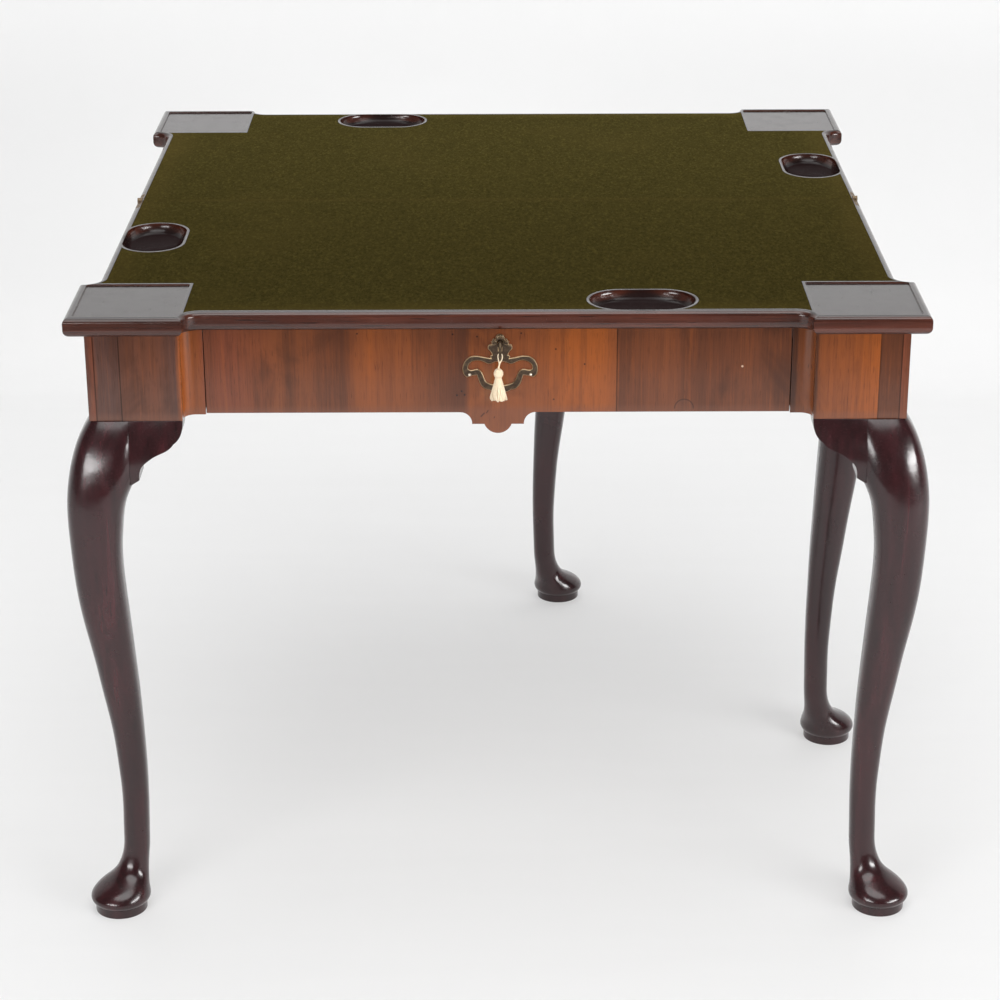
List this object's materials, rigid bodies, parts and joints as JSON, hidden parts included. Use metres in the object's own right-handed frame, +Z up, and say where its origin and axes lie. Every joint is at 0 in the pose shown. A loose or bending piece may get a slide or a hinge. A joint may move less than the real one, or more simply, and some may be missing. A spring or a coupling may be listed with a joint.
{
  "type": "fold-over game table",
  "caption": "Fold-over game table with a cloth-lined square top, turret corners, counter wells, a frieze drawer with lock and key, and cabriole legs, of which a rear one swings out as a gate.",
  "frame": {"origin": "on the floor under the middle of the open top, on the line where the two leaves meet", "axes": "+X to the right seen from the drawer side, +Y to the back where the upper leaf lies open, +Z up"},
  "size_m": [0.943, 0.9433, 0.7235],
  "materials": {
    "leaf_mahogany": "polished dark mahogany",
    "baize": "fine woven wool baize",
    "walnut_veneer": "polished walnut veneer",
    "leg_mahogany": "ebonised dark polish",
    "gate_oak": "stained oak",
    "frame_pine": "bare aged pine",
    "drawer_oak": "bare aged oak",
    "old_brass": "dark patinated brass",
    "lock_iron": "worn iron",
    "tassel_silk": "cream silk threads",
    "tassel_cord": "twisted cream cord"
  },
  "bodies": {
    "frame": {"lower_leaf": "leaf_mahogany", "lower_baize": "baize", "left_leaf_hinge_fixed": "old_brass", "right_leaf_hinge_fixed": "old_brass", "left_leaf_hinge_pin": "old_brass", "right_leaf_hinge_pin": "old_brass", "leaf_hinge_screws_fixed": "old_brass", "front_left_turret": "walnut_veneer", "front_right_turret": "walnut_veneer", "left_side_rail": "walnut_veneer", "right_side_rail": "walnut_veneer", "back_rail": "frame_pine", "fixed_hinge_rail": "gate_oak", "hinge_rail_screws": "lock_iron", "gate_pin": "lock_iron", "front_top_rail": "frame_pine", "top_screws": "lock_iron", "glue_blocks": "frame_pine", "lock_keeper": "old_brass", "front_left_leg": "leg_mahogany", "front_right_leg": "leg_mahogany", "rear_right_leg": "leg_mahogany", "front_left_front_ear": "leg_mahogany", "front_left_side_ear": "leg_mahogany", "front_right_front_ear": "leg_mahogany", "front_right_side_ear": "leg_mahogany", "rear_right_ear": "leg_mahogany", "left_drawer_runner": "frame_pine", "right_drawer_runner": "frame_pine", "left_drawer_guide": "frame_pine", "right_drawer_guide": "frame_pine", "drawer_stops": "frame_pine"},
    "folding_leaf": {"upper_leaf": "leaf_mahogany", "upper_baize": "baize", "left_leaf_hinge_moving": "old_brass", "right_leaf_hinge_moving": "old_brass", "leaf_hinge_screws_moving": "old_brass"},
    "gate": {"fly_rail": "gate_oak", "gate_leg": "leg_mahogany", "gate_ear": "leg_mahogany"},
    "drawer": {"drawer_front": "walnut_veneer", "drawer_left_side": "drawer_oak", "drawer_right_side": "drawer_oak", "drawer_back": "drawer_oak", "drawer_bottom": "drawer_oak", "escutcheon_plate": "old_brass", "escutcheon_pins": "old_brass", "lock_case": "lock_iron", "lock_cover": "lock_iron", "lock_screws": "lock_iron"},
    "key": {"key": "lock_iron"},
    "bolt": {"lock_bolt": "lock_iron"},
    "tassel": {"tassel": "tassel_silk", "tassel_cord": "tassel_cord"}
  },
  "joints": [
    {"name": "leaf_fold", "type": "hinge", "parent": "frame", "child": "folding_leaf", "pos_m": [0, 0, 0.7205], "axis": [1, 0, 0], "range_deg": [0, 180]},
    {"name": "gate_swing", "type": "hinge", "parent": "frame", "child": "gate", "pos_m": [0.04125, -0.029, 0.599], "axis": [0, 0, 1], "range_deg": [0, 93.5]},
    {"name": "drawer_slide", "type": "slide", "parent": "frame", "child": "drawer", "axis": [0, -1, 0], "range_m": [0, 0.27]},
    {"name": "key_turn", "type": "hinge", "parent": "drawer", "child": "key", "pos_m": [0.0025, -0.418, 0.68], "axis": [0, 1, 0], "range_deg": [0, 90]},
    {"name": "bolt_throw", "type": "slide", "parent": "drawer", "child": "bolt", "axis": [0, 0, 1], "range_m": [0, 0.008]},
    {"name": "tassel_hang", "type": "hinge", "parent": "key", "child": "tassel", "pos_m": [0.0025, -0.442, 0.672], "axis": [0, 1, 0], "range_deg": [-90, 0]}
  ],
  "couplings": [
    {"joint": "key_turn", "follows": "bolt_throw", "rad_per_m": 196.35},
    {"joint": "tassel_hang", "follows": "bolt_throw", "rad_per_m": -196.35}
  ]
}
